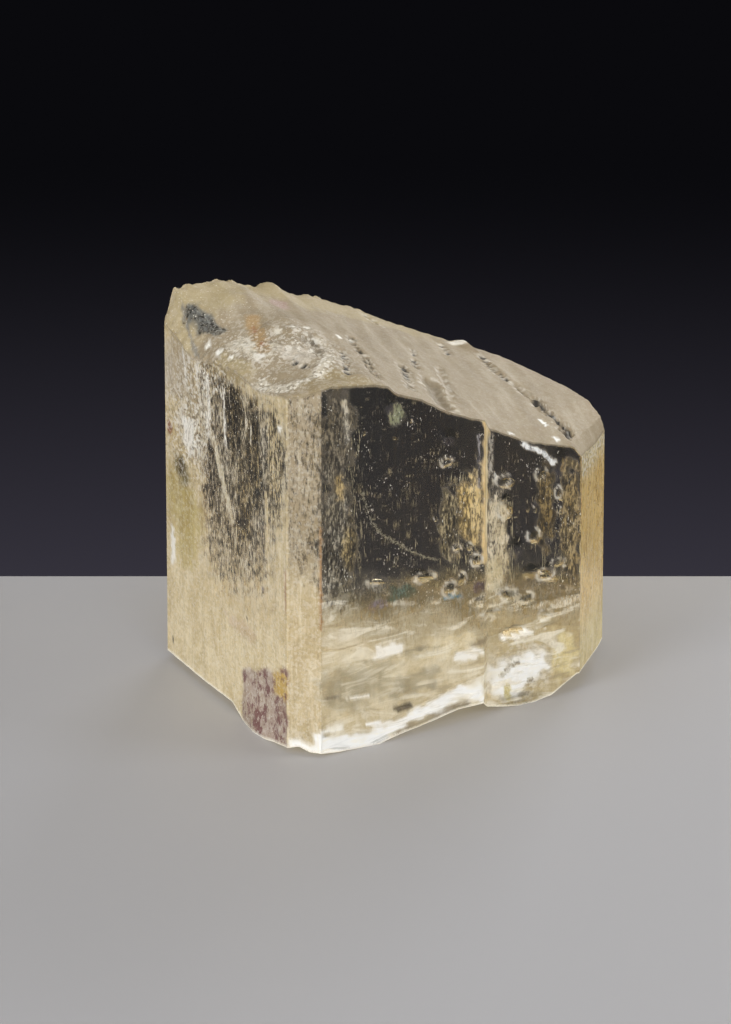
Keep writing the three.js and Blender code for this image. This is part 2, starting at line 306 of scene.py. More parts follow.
def stations_across():
    corners = sorted({x for x, _ in FRONT_LINE + BACK_LINE})
    stations = []
    for start, end in zip(corners, corners[1:]):
        if end - start > 0.01:
            steps = max(1, round((end - start) / STATION_SPACING))
            stations += [start + (end - start) * step / steps for step in range(steps)]
    stations.append(RIGHT_SIDE)
    return (np.array(stations) - LEFT_SIDE) / (RIGHT_SIDE - LEFT_SIDE)


# Small dents in the prism faces: place along the front, height, half width, half height, depth
FACE_PITS = [
    (7.1, 15.6, 0.3, 0.3, 0.08), (10.5, 11.1, 0.35, 0.45, 0.12), (12.5, 11.0, 0.3, 0.25, 0.08),
    (10.2, 9.6, 0.25, 0.4, 0.1), (12.0, 7.1, 0.4, 0.3, 0.12), (12.8, 7.1, 0.35, 0.25, 0.12),
    (7.5, 7.3, 0.3, 0.25, 0.08), (8.9, 6.4, 0.35, 0.25, 0.1), (10.5, 6.2, 0.4, 0.25, 0.12),
    (11.5, 5.6, 0.3, 0.2, 0.1), (12.8, 4.6, 0.35, 0.3, 0.12), (11.1, 4.1, 0.9, 0.3, 0.2),
    (13.6, 12.7, 0.3, 0.9, 0.08), (13.2, 9.0, 0.3, 0.3, 0.08), (11.2, 8.6, 0.3, 0.5, 0.08),
    (5.4, 8.6, 0.4, 0.25, 0.06), (13.2, 3.9, 0.5, 0.2, 0.12), (3.9, 18.0, 0.35, 0.35, 0.05),
]


def wall_inset(x, y, z):
    """How far each point of a prism face stands in from the flat: growth lines and small dents."""
    line = x - y
    growth = 0.018 * np.abs(np.sin(line * 2.9 + 0.6 * np.sin(z / 6))) + 0.012 * np.abs(np.sin(line * 9.7))
    fine = 0.006 * (1 + np.sin(line * 23.0 + 0.8 * np.sin(z / 3.1)))
    inset = growth + fine
    front = y < GROWTH_STEP + 0.2
    for at, height, half_width, half_height, depth in FACE_PITS:
        far = np.sqrt(((x - at) / half_width) ** 2 + ((z - height) / half_height) ** 2)
        cup = np.clip(1 - far**4, 0, 1) * depth
        inset = inset + np.where(front, cup, 0)
    return inset


def crystal_mesh():
    """The top and the foot on one grid of stations, with walls along their edges. Gives points and faces."""
    stations = stations_across()
    last = len(stations) - 1
    across, back = np.meshgrid(stations, np.linspace(0, 1, ROWS_DEEP + 1), indexing="ij")
    across, back = across.ravel(), back.ravel()
    x, y = place(across, back)
    tops = np.column_stack([x, y, top_height(across, back)])
    feet = np.column_stack([x, y, foot_height(across, back)])
    count = len(tops)

    def at(column, row):
        return column * (ROWS_DEEP + 1) + row

    columns, rows = np.meshgrid(np.arange(last), np.arange(ROWS_DEEP), indexing="ij")
    columns, rows = columns.ravel(), rows.ravel()
    cap = np.column_stack([
        at(columns, rows), at(columns + 1, rows), at(columns + 1, rows + 1), at(columns, rows + 1),
    ])
    rim = [at(column, 0) for column in range(last)]
    rim += [at(last, row) for row in range(ROWS_DEEP)]
    rim += [at(column, ROWS_DEEP) for column in range(last, 0, -1)]
    rim += [at(0, row) for row in range(ROWS_DEEP, 0, -1)]
    rim = np.array(rim)

    outward = rim_normals(tops[rim][:, :2])
    wall_points = []
    for step in range(WALL_ROWS + 1):
        down = step / WALL_ROWS
        level = tops[rim].copy()
        level[:, 2] += down * (feet[rim][:, 2] - tops[rim][:, 2])
        inset = wall_inset(level[:, 0], level[:, 1], level[:, 2])
        level[:, :2] -= outward * inset[:, None]
        wall_points.append(level)
    tops[rim], feet[rim] = wall_points[0], wall_points[-1]

    loops = [rim]
    for step in range(1, WALL_ROWS):
        loops.append(2 * count + (step - 1) * len(rim) + np.arange(len(rim)))
    loops.append(rim + count)
    walls = [
        np.column_stack([upper, lower, np.roll(lower, -1), np.roll(upper, -1)])
        for upper, lower in zip(loops, loops[1:])
    ]
    points = np.vstack([tops, feet, *wall_points[1:-1]])
    faces = np.vstack([cap, cap[:, ::-1] + count, *walls])
    return swollen(points), faces


def rim_normals(loop):
    """Outward direction of the section's outline at each of its points."""
    tangent = np.roll(loop, -1, axis=0) - np.roll(loop, 1, axis=0)
    normal = np.column_stack([tangent[:, 1], -tangent[:, 0]])
    return normal / np.linalg.norm(normal, axis=1)[:, None]


def make_object(name, points, faces, material):
    mesh = bpy.data.meshes.new(name)
    corners = [tuple(point) for point in to_frame(points)]
    mesh.from_pydata(corners, [], [tuple(int(index) for index in face) for face in faces])
    mesh.validate()
    mesh.update()
    mesh.materials.append(material)
    obj = bpy.data.objects.new(name, mesh)
    bpy.context.scene.collection.objects.link(obj)
    return obj


# Shader helpers

def new_material(name):
    material = bpy.data.materials.new(name)
    material.use_nodes = True
    tree = material.node_tree
    tree.nodes.clear()
    output = tree.nodes.new("ShaderNodeOutputMaterial")
    return material, tree, output


def math_node(tree, operation, first, second=None, clamp=False):
    node = tree.nodes.new("ShaderNodeMath")
    node.operation = operation
    node.use_clamp = clamp
    for socket, value in zip(node.inputs, (first, second)):
        if value is None:
            continue
        if isinstance(value, (int, float)):
            socket.default_value = value
        else:
            tree.links.new(value, socket)
    return node.outputs[0]


def ramp(tree, value, low_edge, high_edge, low_value=0.0, high_value=1.0):
    node = tree.nodes.new("ShaderNodeMapRange")
    node.interpolation_type = "SMOOTHSTEP"
    node.inputs["From Min"].default_value = low_edge
    node.inputs["From Max"].default_value = high_edge
    node.inputs["To Min"].default_value = low_value
    node.inputs["To Max"].default_value = high_value
    tree.links.new(value, node.inputs["Value"])
    return node.outputs[0]


def noise(tree, scale, detail=3.0, rough=0.55, warp=0.0):
    """Noise on the object's own place; scale gives the waves in a millimetre along X, Y and Z."""
    where = tree.nodes.new("ShaderNodeTexCoord")
    mapping = tree.nodes.new("ShaderNodeMapping")
    mapping.inputs["Scale"].default_value = [value / MM for value in scale]
    tree.links.new(where.outputs["Object"], mapping.inputs["Vector"])
    node = tree.nodes.new("ShaderNodeTexNoise")
    node.inputs["Scale"].default_value = 1.0
    node.inputs["Detail"].default_value = detail
    node.inputs["Roughness"].default_value = rough
    node.inputs["Distortion"].default_value = warp
    tree.links.new(mapping.outputs["Vector"], node.inputs["Vector"])
    return node.outputs[0]


def facets(tree, scale):
    """A random grey for each small cell, painted as the light and shade of chipped facets; scale is cells in
    a millimetre.
    """
    where = tree.nodes.new("ShaderNodeTexCoord")
    node = tree.nodes.new("ShaderNodeTexVoronoi")
    node.inputs["Scale"].default_value = scale / MM
    tree.links.new(where.outputs["Object"], node.inputs["Vector"])
    return node.outputs["Color"]


def attribute(tree, name):
    node = tree.nodes.new("ShaderNodeAttribute")
    node.attribute_name = name
    return node.outputs["Fac"]


def mix_value(tree, share, first, second):
    node = tree.nodes.new("ShaderNodeMix")
    for index, value in ((0, share), (2, first), (3, second)):
        tree.links.new(value, node.inputs[index])
    return node.outputs[0]


def mix_colour(tree, share, first, second):
    node = tree.nodes.new("ShaderNodeMix")
    node.data_type = "RGBA"
    factor, colour_a, colour_b = node.inputs[0], node.inputs[6], node.inputs[7]
    for socket, value in ((factor, share), (colour_a, first), (colour_b, second)):
        if isinstance(value, (int, float)):
            socket.default_value = value
        elif isinstance(value, tuple):
            socket.default_value = (*value, 1.0)
        else:
            tree.links.new(value, socket)
    return node.outputs[2]


# Settings of the clear body and of its finish; the bump's height is in millimetres
SELLAITE_IOR = 1.385
BODY_TINT = (1.0, 0.92, 0.72)
BODY_DENSITY = 30.0
GAP_MILK, MILK_COVER = 0.93, 0.97  # how milky dark gaps are, and how much clearness full milk takes
BUMP_STRENGTH, BUMP_HEIGHT = 0.5, 0.05
SHARP_ANGLE = math.radians(32)

# Colours, as linear red, green and blue: of the clear body, of what clouds it, and of painted shade and
# highlights
CLEAR = (1.0, 0.985, 0.93)
BROWN_CLEAR = (0.25, 0.25, 0.2)
STRAW = (0.72, 0.6, 0.38)
CREAM = (0.76, 0.67, 0.47)
WHITE = (0.93, 0.9, 0.82)
SNOW = (0.98, 0.98, 0.95)
BEIGE = (0.45, 0.39, 0.3)
SAND = (0.45, 0.37, 0.22)
GREY = (0.42, 0.395, 0.315)
GOLD = (0.72, 0.53, 0.23)
RUST = (0.28, 0.1, 0.04)
OLIVE = (0.2, 0.17, 0.08)
SLATE = (0.17, 0.18, 0.17)
LAVENDER = (0.36, 0.34, 0.35)
MAUVE = (0.48, 0.38, 0.32)
GREENISH = (0.34, 0.36, 0.24)
# Painted shade between the fibres, and a few small near-black spots
NEAR_BLACK = (0.03, 0.026, 0.02)
SPECK = (0.2, 0.1, 0.09)
# Painted shade for the pits on the top
PIT_SHADE = (0.035, 0.03, 0.025)
PALE_STRAW = (0.82, 0.7, 0.46)
DEEP_STRAW = (0.66, 0.55, 0.36)
OCHRE = (0.48, 0.39, 0.21)
LEMON = (0.78, 0.66, 0.34)
PALE_GOLD = (0.88, 0.76, 0.46)
# Painted light and shade of the ridges along the top's slope
PALE_STRIPE = (0.54, 0.47, 0.36)
DARK_STRIPE = (0.31, 0.25, 0.17)
# Painted shade in the grooves and on the pit floors
GROOVE_SHADE = (0.26, 0.23, 0.18)
PIT_FLOOR_SHADE = (0.04, 0.035, 0.03)
BUBBLE_RIM_HIGHLIGHT = (0.82, 0.79, 0.7)
# Pale specks in the faces; on the top's left part they are painted sparkle
SPECK_AND_SPARKLE = (0.8, 0.76, 0.66)
UNEVEN_TINT = (0.72, 0.66, 0.52)  # what uneven places are multiplied by
CLEAR_SHADOW = (0.93, 0.91, 0.84)  # what is left of a lamp's light behind clear and milky places
MILKY_SHADOW = (0.5, 0.45, 0.32)

# What each point of the mesh says, from 0 to 1: how milky it is, how far fibres break that up, how much
# painted shade lies between them in place of the dark seen through the clear crystal, how frosted, how many
# specks (painted sparkle on the top's left part), and how many wisps, streaks and chips it has
FIELDS = ("milk", "fibre", "gap_shade", "frost", "specks_and_sparkle", "wisp", "streak", "chip")

# Each face's own finish: colour, milk, fibre, painted gap shade, specks and streak
FACE_FINISH = {
    "top": ((0.37, 0.3, 0.2), 0.95, 0.15, 0.0, 0.0, 0.0),
    "foot": (WHITE, 0.85, 0.2, 0.0, 0.0, 0.0),
    "left": (STRAW, 0.97, 0.3, 0.0, 1.0, 0.3),
    "bevel": ((0.46, 0.38, 0.26), 0.8, 0.7, 0.45, 0.5, 0.45),
    "front": (BEIGE, 0.0, 0.0, 0.26, 0.25, 0.0),
    "golden": ((0.83, 0.6, 0.24), 0.88, 0.85, 0.4, 1.0, 0.7),
    "back": (CREAM, 0.0, 0.0, 0.0, 0.1, 0.5),
}
TOP_FROST, FOOT_FROST = 1.0, 0.7

# The cloud in the lower part of the front face, in layers: the height where each is full, the height where
# it begins, colour, milk, fibre and painted gap shade. Its edge falls to the right, and rises next to the
# left edge.
CLOUD_LAYERS = [
    (8.4, 9.9, (0.24, 0.22, 0.16), 0.5, 0.7, 0.45),
    (6.9, 8.7, (0.5, 0.45, 0.33), 0.74, 0.35, 0.25),
    (5.4, 7.0, (0.7, 0.62, 0.45), 0.85, 0.1, 0.0),
]
CLOUD_FALL, CLOUD_RISE = 0.216, 0.9
QUIET_CLOUD = ((2.6, 3.2), (3.2, 1.9))

# Ovals of chipped ground, whose sparkle is painted, as middle and half sizes on their own faces
CHIPPED_FACET = ((1.2, 1.0), (2.2, 1.3))
CHIPPED_LEFT = [((11.0, 13.6), (2.0, 2.2)), ((9.0, 17.0), (2.2, 1.2))]
CHIPPED_FRONT = ((11.4, 1.9), (2.2, 1.6))

# Patches painted over a face's own finish, one over the other: middle, half sizes, colour, milk, and fibre
# and painted gap shade where there is any. Strokes have a line and a half width instead of a middle and half
# sizes.
# On the left face the places are depth and height.
LEFT_SPOTS = [
    # Left face window: fibres with painted shade between them, in place of the dark seen through the crystal
    ((6.2, 12.7), (4.8, 6.0), (0.58, 0.52, 0.41), 0.5, 1, 1),
    ((6.7, 16.0), (1.1, 1.8), SAND, 0.1, 1, 1),
    ((4.6, 14.4), (0.9, 2.9), SAND, 0.2, 1, 1),
    ((8.9, 12.4), (1.1, 2.7), BEIGE, 0.35, 1, 1),
    ((5.7, 11.6), (0.8, 2.6), SAND, 0.28, 1, 1),
    ((2.4, 14.8), (0.7, 3.2), STRAW, 0.58, 1, 0.9),
    ((12.0, 8.6), (1.9, 2.6), (0.56, 0.46, 0.2), 0.9, 0.3),
    ((12.0, 16.3), (2.1, 2.2), (0.56, 0.48, 0.36), 0.97, 0.15),
    ((11.0, 13.4), (1.6, 1.5), (0.84, 0.79, 0.68), 0.72, 1, 0.5),
    ((11.4, 13.3), (0.6, 1), WHITE, 0.85, 0.9, 0.3),
    ((9.7, 15.9), (0.5, 1.5), (0.84, 0.79, 0.68), 0.62, 1, 0.6),
    ((12.2, 11.0), (0.8, 0.9), OLIVE, 0.85, 0.8, 0.3),
    ((12.1, 11.2), (0.35, 0.5), (0.1, 0.08, 0.04), 0.9, 0.9, 0.4),
    ((13.3, 12.8), (0.3, 0.3), RUST, 0.95, 0.8),
    ((13.1, 6.5), (0.25, 1.1), WHITE, 0.95, 0.2),
    ((7.35, 18.2), (1.9, 0.4), SAND, 0.98, 0.1),
    ((6.0, 4.9), (1.5, 0.4), (0.72, 0.58, 0.4), 1, 0.1),
    ((1.95, 17.1), (0.2, 0.16), WHITE, 1),
    ((5.3, 16.1), (0.09, 0.5), WHITE, 0.85, 0.9),
    ((4.9, 15.5), (0.08, 0.5), WHITE, 0.85, 0.9),
    ((6.66, 6.66), (0.11, 0.16), NEAR_BLACK, 1),
    ((5.33, 5.6), (0.08, 0.1), NEAR_BLACK, 1),
    ((13.2, 1.25), (0.1, 0.22), NEAR_BLACK, 1),
    ((3.7, 7.9), (0.12, 0.12), (0.22, 0.19, 0.25), 0.9, 0.2),
]
LEFT_STROKES = [
    ([(8.9, 14.2), (8.0, 12.5), (6.8, 10.3)], 0.26, (0.74, 0.68, 0.54), 0.8, 0.8, 0.3),
    ([(9.3, 17.0), (9.1, 15.2), (9.3, 14.0)], 0.2, WHITE, 0.7, 0.95, 0.4),
    ([(11.9, 17.6), (11.5, 16.0), (11.0, 14.8)], 0.08, (0.8, 0.77, 0.7), 0.95, 0.6),
    ([(10.3, 17.9), (10.4, 16.3), (10.0, 15.2)], 0.1, (0.84, 0.8, 0.72), 0.95, 0.7),
    ([(7.6, 17.0), (7.5, 14.2)], 0.16, WHITE, 0.7, 1, 0.6),
    ([(3.3, 13.0), (3.2, 10.0)], 0.2, STRAW, 0.85, 0.7, 0.3),
    ([(1.4, 9.8), (1.4, 7.6)], 0.08, (0.45, 0.24, 0.13), 0.9, 0.8),
]

# On the front face and its left bevel the places are along and height
FRONT_SPOTS = [
    ((0.9, 16.9), (1.0, 2.5), (0.33, 0.28, 0.2), 0.5, 0.7, 0.9),
    ((0.8, 11.6), (1.0, 3.4), (0.4, 0.36, 0.28), 0.45, 1, 0.8),
    ((1.05, 14.2), (0.28, 0.7), (0.58, 0.44, 0.22), 0.6, 1, 0.5),
    ((1.6, 11.0), (0.4, 1.2), (0.5, 0.4, 0.22), 0.42, 1, 0.9),
    ((4.2, 17.35), (0.42, 0.55), GREENISH, 0.6, 0.8, 0.2),
    ((8.25, 11.4), (0.8, 2.0), GOLD, 0.56, 1, 0.7),
    ((8.65, 11.9), (0.35, 1.9), (0.8, 0.62, 0.32), 0.66, 1, 0.5),
    ((7.1, 11.0), (0.5, 1.8), SAND, 0.42, 1, 0.8),
    ((10.1, 9.7), (0.62, 2.5), (0.79, 0.71, 0.55), 0.68, 1, 0.4),
    ((10.0, 7.6), (0.8, 1.3), CREAM, 0.75, 0.8),
    ((14.3, 9.5), (0.55, 3.5), (0.44, 0.34, 0.18), 0.52, 1, 0.8),
    ((12.9, 10.4), (0.5, 2.2), (0.3, 0.22, 0.1), 0.45, 1, 0.8),
    ((2.3, 3.5), (2.2, 1.6), GREY, 0.62, 0, 0.1),
    ((5.2, 2.9), (1.4, 0.6), GREY, 0.6, 0, 0.1),
    ((4.6, 1.7), (0.6, 0.22), (0.13, 0.11, 0.08), 0.85, 0.5, 0.2),
    ((0.6, 3.1), (0.4, 0.12), (0.25, 0.22, 0.17), 0.9, 0.5),
    ((2.1, 2.8), (0.6, 0.12), WHITE, 0.9, 0.3),
    ((3.8, 4.9), (0.9, 0.4), WHITE, 0.95, 0.1),
    ((8.3, 3.7), (0.9, 0.32), WHITE, 1),
    ((9.0, 4.2), (0.7, 0.14), (0.3, 0.25, 0.17), 0.85, 0.4),
    ((7.0, 4.4), (1.6, 0.6), CREAM, 0.9, 0.2),
    ((11.4, 1.8), (1.75, 1.45), SNOW, 1),
    ((14.0, 2.1), (0.65, 1.1), (0.8, 0.7, 0.4), 0.9, 0.3),
    ((10.8, 0.85), (0.2, 0.45), (0.8, 0.72, 0.36), 0.95, 0.2),
    ((12.05, 1.2), (0.25, 0.1), (0.32, 0.3, 0.27), 0.9, 0.2),
    ((11.3, 3.9), (0.95, 0.28), WHITE, 1),
    ((7.3, 7.05), (0.55, 0.13), (0.06, 0.2, 0.33), 0.55, 0.6, 0.3),
    ((8.9, 7.2), (0.4, 0.3), (0.16, 0.12, 0.15), 0.42, 0.8, 0.5),
    ((4.5, 7.9), (0.8, 0.4), (0.12, 0.17, 0.14), 0.42, 0.8, 0.5),
    ((3.2, 7.5), (0.6, 0.25), (0.24, 0.21, 0.25), 0.4, 0.8, 0.3),
    ((9.95, 12.6), (0.2, 0.3), WHITE, 0.7, 0.8, 0.2),
]
FRONT_STROKES = [
    ([(1.3, 18.7), (1.5, 16.6)], 0.16, (0.66, 0.6, 0.48), 0.55, 1, 0.5),
    # Painted highlight: a white glint band across the front face's upper right
    ([(11.6, 14.05), (12.2, 13.75), (12.8, 13.3), (13.3, 12.7)], 0.17, SNOW, 0.75, 0.7, 0.1),
    ([(8.8, 15.4), (8.8, 12.6)], 0.1, LAVENDER, 0.4, 0.9, 0.3),
    ([(9.75, 15.0), (9.75, 11.5)], 0.16, (0.5, 0.47, 0.42), 0.5, 0.9, 0.3),
    ([(9.3, 15.9), (9.25, 8.6)], 0.27, (0.88, 0.66, 0.34), 0.98, 0.15),
    ([(9.42, 15.6), (9.4, 9.6)], 0.12, (0.98, 0.84, 0.55), 0.98, 0.2),
    ([(0.02, 12.3), (0.02, 6.8)], 0.07, (0.45, 0.26, 0.12), 0.9, 0.8),
    ([(10.4, 1.85), (10.9, 2.25), (11.4, 2.4)], 0.12, (0.36, 0.34, 0.31), 0.9, 0.4),
    ([(4.3, 0.4), (5.4, 0.6), (6.6, 0.85), (8.2, 1)], 0.24, (0.3, 0.26, 0.2), 0.85, 0.2),
    ([(0.0, 0.9), (0.8, 0.6), (2.1, 0.5), (3.0, 0.5)], 0.34, SNOW, 1),
    ([(3.0, 0.55), (4.0, 0.7), (4.9, 1.02), (5.5, 1.16)], 0.3, SNOW, 1),
    ([(5.5, 1.12), (6.4, 1.3), (7.3, 1.58), (8.0, 1.68), (8.7, 1.6)], 0.42, SNOW, 1),
    ([(8.65, 1.6), (9.1, 1.1)], 0.26, SNOW, 1),
    ([(2.6, 1.2), (3.9, 0.95)], 0.17, SNOW, 1, 0.2),
    ([(0.05, 1.4), (1.1, 1.35)], 0.17, WHITE, 1, 0.3),
]

# On the top the places are along and depth
TOP_SPOTS = [
    ((8.0, 13.6), (9.0, 1.6), SAND, 0.97, 0.1),
    ((0.2, 13.2), (2.2, 1.8), SAND, 0.97, 0.1),
    ((1.3, 0.9), (2.2, 1.5), (0.34, 0.265, 0.14), 0.98, 0.3),
    ((-0.9, 7.0), (0.4, 1.8), SAND, 0.9, 0.2),
    ((4.2, 11.9), (0.5, 0.5), (0.42, 0.3, 0.25), 0.95, 0.3),
    ((2.9, 5.8), (0.45, 1), (0.33, 0.28, 0.21), 0.85, 0.6, 0.3),
    ((0.4, 7.7), (0.8, 1.9), (0.74, 0.68, 0.56), 0.85, 0.9, 0.3),
    ((1.9, 7.8), (0.2, 0.25), (0.84, 0.8, 0.7), 0.7, 1, 0.3),
    ((0.0, 6.3), (0.3, 0.5), WHITE, 0.8, 0.9, 0.2),
    ((1.6, 5.2), (0.9, 1.3), (0.6, 0.54, 0.45), 0.9, 0.6, 0.2),
    ((14.6, 12.3), (0.5, 0.35), WHITE, 0.8, 0.9),
    # A pit darkened with painted shade
    ((3.1, 6.3), (0.1, 0.25), PIT_SHADE, 0.9, 0.5),
]

# Small painted glints, as highlights, and pits darkened with painted shade: along, depth and half sizes
WHITE_GLINTS = [
    (-0.54, 10.45, 0.12, 0.2), (-0.66, 9.07, 0.13, 0.22), (-0.66, 7.9, 0.13, 0.2), (2.65, 7.6, 0.14, 0.2),
    (3.53, 7.9, 0.14, 0.2), (4.9, 7.1, 0.12, 0.2), (5.85, 7.6, 0.12, 0.2),
]
SNOWY_GLINTS = [(13.7, 2.2, 0.14, 0.4), (13.7, 0.9, 0.16, 0.14), (11.0, 0.75, 0.16, 0.12)]
DARK_PITS = [
    (14.7, 4.7, 0.2, 0.22), (14.72, 4.1, 0.17, 0.2), (14.78, 3.45, 0.24, 0.26), (14.88, 2.85, 0.18, 0.2),
    (15.02, 2.3, 0.24, 0.26), (14.75, 1.65, 0.2, 0.22), (7.45, 5.2, 0.16, 0.24), (7.1, 4.3, 0.14, 0.3),
    (9.1, 7.1, 0.12, 0.2), (3.5, 4.2, 0.12, 0.2), (2.7, 2.3, 0.14, 0.2),
]
for marks, *mark_finish in ((WHITE_GLINTS, WHITE, 1), (SNOWY_GLINTS, SNOW, 1), (DARK_PITS, PIT_SHADE, 0.97)):
    TOP_SPOTS += [(mark[:2], mark[2:], *mark_finish) for mark in marks]
TOP_STROKES = [
    ([(-0.25, 12.9), (-0.05, 12.0), (0.2, 10.8)], 0.4, SLATE, 0.55, 1, 0.9),
    ([(1.7, 10.2), (1.2, 8.6), (0.5, 6.6)], 0.36, (0.44, 0.3, 0.15), 0.97, 0.4),
    ([(1.5, 9.6), (1.25, 8.9)], 0.1, (0.4, 0.2, 0.09), 0.95, 0.9),
    ([(0.95, 7.8), (0.75, 7.2)], 0.1, (0.4, 0.2, 0.09), 0.95, 0.9),
    ([(-0.4, 13.4), (-0.75, 12.0), (-1.1, 10.4)], 0.07, (0.26, 0.24, 0.2), 0.9, 0.9),
    (RIM, 0.32, (0.6, 0.54, 0.43), 0.95, 0.5),
]
CORNER_STAIN = {"y": (1.25, 5.85), "top": 4.48, "fall": 0.388, "colour": MAUVE}
YELLOW_STAIN = {"far_y": 2.75, "z": (2.6, 4.3), "colour": (0.6, 0.4, 0.1)}


def spot(a, b, middle, half):
    """Share of a soft, ragged patch at each place."""
    ragged = 0.3 * lumps(a, b, 0.4 * min(half), middle[0]) + 0.2 * lumps(b, a, 0.15, middle[1])
    far = (np.abs((a - middle[0]) / half[0]) ** 3 + np.abs((b - middle[1]) / half[1]) ** 3) ** (1 / 3)
    return 1 - fade(far + ragged, 0.75 if min(half) < 0.8 else 0.5, 1.15)


def paint(fields, where, share, colour, milk, fibre=0, gap_shade=0):
    """Blends a finish into the fields by its share, which is 0 to 1 at each place, on one face."""
    share = np.where(where, share, 0)
    for name, value in (("milk", milk), ("fibre", fibre), ("gap_shade", gap_shade)):
        fields[name] += share * (value - fields[name])
    fields["tint"] += share[:, None] * (np.array(colour) - fields["tint"])


def paint_all(fields, where, a, b, spots, strokes):
    for middle, half, *finish in spots:
        paint(fields, where, spot(a, b, middle, half), *finish)
    for line, half, *finish in strokes:
        gap = line_distance(a, b, line)[0] * (1 + 0.4 * lumps(a, b, 0.22, 9 * half))
        gap = gap + 0.04 * lumps(a, b, 0.1, half)
        paint(fields, where, 1 - fade(gap, 0.6 * half, 1.2 * half), *finish)


def faces_of(points, cap_count):
    """Which points are on each face, as one mask for each name in FACE_FINISH."""
    x, y, _ = points.T
    index = np.arange(len(points))
    top, foot = index < cap_count, (index >= cap_count) & (index < 2 * cap_count)
    wall = ~(top | foot)
    left = wall & (x < LEFT_SIDE + 0.2) & (y > LEFT_BEVEL - 0.05) & (y < DEPTH - BACK_LEFT_BEVEL + 0.1)
    bevel = wall & ~left & (x < 0.02) & (y < LEFT_BEVEL + 0.1)
    front = wall & ~left & ~bevel & (y < GROWTH_STEP + 0.2) & (x < FRONT_END + 0.05)
    golden = wall & ~front & (x > FRONT_END - 0.2) & (y < GROWTH_STEP + RIGHT_BEVEL + 0.05)
    back = wall & ~(left | bevel | front | golden)
    return dict(top=top, foot=foot, left=left, bevel=bevel, front=front, golden=golden, back=back)


def paint_bases(fields, on, x, y, z):
    """Each face's own finish, and what changes it gradually."""
    for name, (colour, milk, fibre, gap_shade, specks_and_sparkle, streak) in FACE_FINISH.items():
        paint(fields, on[name], np.ones(len(x)), colour, milk, fibre, gap_shade)
        fields["specks_and_sparkle"][on[name]] = specks_and_sparkle
        fields["streak"][on[name]] = streak
    fields["frost"][on["top"]] = TOP_FROST
    fields["frost"][on["foot"]] = FOOT_FROST
    # Painted sparkle: pale specks over the top's left part, in place of glints on its chipped ground
    painted_sparkle = 1 - fade(x + 0.3 * lumps(x, y, 0.5, 0.4), 2.5, 5.5)
    fields["specks_and_sparkle"] += np.where(on["top"], painted_sparkle, 0)
    patchy = fade(lumps(x, z, 0.7, 2.1) + 0.6 * lumps(x, z, 0.2, 0.9), -0.2, 0.7)
    fields["specks_and_sparkle"] += np.where(on["front"], 0.75 * patchy, 0)
    upright = 0.45 * fade(z + lumps(y, z, 0.8, 0.2), 7.0, 10.0) * (1 - fade(y, 9.5, 11.0))
    fields["streak"] += np.where(on["left"], upright, 0)
    pale_foot = 0.7 * (1 - fade(z + lumps(y, z, 1.1, 0.4), 4.0, 9.0))
    paint(fields, on["left"], pale_foot, PALE_STRAW, 0.98, 0.2)


def paint_clouds(fields, on, x, y, z):
    """The milky lower half with its cloudy edge, and the milky bands of the right and the back."""
    front, golden, back = on["front"], on["golden"], on["back"]
    cloud = 0.5 * lumps(x + y, z, 0.9, 1.7) + 0.3 * lumps(x - y, z, 0.4, 0.3)
    paint(fields, on["bevel"], 1 - fade(z + cloud, 8.0, 12.0), DEEP_STRAW, 0.97, 0.3)
    tide = z + CLOUD_FALL * x - CLOUD_RISE * (1 - fade(x, 0.0, 4.0)) + cloud
    for full, begins, *finish in CLOUD_LAYERS:
        paint(fields, front, 1 - fade(tide, full, begins), *finish)
    quiet = 0.55 * oval(x, z, *QUIET_CLOUD)
    fields["wisp"] += np.where(front, (1 - fade(tide, 8.0, 9.6)) * (1 - quiet), 0)
    fields["wisp"] += np.where(on["foot"], 0.5, 0)
    fields["wisp"] += np.where(on["left"] | on["bevel"], 0.12 * (1 - fade(z + cloud, 7.0, 10.0)), 0)
    fields["specks_and_sparkle"] *= 1 - 0.8 * np.where(front, 1 - fade(tide, *CLOUD_LAYERS[1][:2]), 0)
    yellowish = 0.75 * (1 - fade(tide, 6.5, 8.0)) * fade(x, 8.5, 11.0)
    paint(fields, front, yellowish, OCHRE, 0.85, 0.2)
    paint(fields, golden, 1 - fade(z, 2.0, 5.0), LEMON, 0.95, 0.3)
    paint(fields, golden, fade(z, 10.6, 12.2), PALE_GOLD, 0.95, 0.5, 0.1)
    paint(fields, back, 1 - fade(z + cloud, 1.6, 4.5), CREAM, 0.75, 0.5)
    below_top = along(TOP_EDGE["back"], x) - z
    paint(fields, back, 1 - fade(below_top + 0.5 * cloud, 0.6, 2.0), CREAM, 0.75, 0.8, 0.1)


